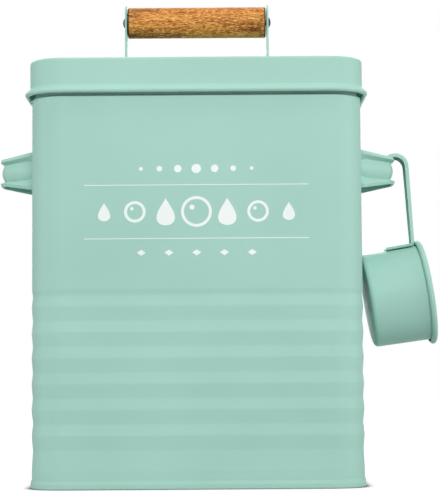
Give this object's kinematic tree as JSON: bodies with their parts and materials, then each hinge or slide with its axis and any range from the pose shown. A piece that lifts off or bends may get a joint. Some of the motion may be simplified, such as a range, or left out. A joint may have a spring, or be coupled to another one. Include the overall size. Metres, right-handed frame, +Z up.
{
  "type": "laundry powder tin",
  "caption": "Ribbed sheet-steel laundry powder tin with a lift-off lid, a turning wooden grip, stamped side handles and a round scoop that hangs on one of them.",
  "frame": {"origin": "middle of the ring that the tin stands on, at floor height", "axes": "+Z up, the printed front wall faces -Y, the scoop hangs on the +X side"},
  "size_m": [0.2551, 0.138, 0.2812],
  "materials": {
    "mint_paint": "satin pale mint green paint on sheet steel",
    "white_print": "white printed ornament",
    "wood": "honey-brown turned wood with a thin clear finish",
    "chrome": "bright plated screw"
  },
  "bodies": {
    "tin": {"tin_body": "mint_paint", "base_panel": "mint_paint", "side_handle_left": "mint_paint", "side_handle_right": "mint_paint", "front_print": "white_print", "scoop_cup": "mint_paint", "scoop_handle": "mint_paint"},
    "lid": {"lid_shell": "mint_paint", "handle_bracket": "mint_paint"},
    "grip": {"wood_grip": "wood", "grip_screw_left": "chrome", "grip_screw_right": "chrome"}
  },
  "joints": [
    {"name": "lid_lift", "type": "slide", "parent": "tin", "child": "lid", "axis": [0, 0, 1], "range_m": [0, 0.06]},
    {"name": "grip_turn", "type": "hinge", "parent": "lid", "child": "grip", "pos_m": [0, 0, 0.271], "axis": [1, 0, 0], "continuous": true}
  ]
}
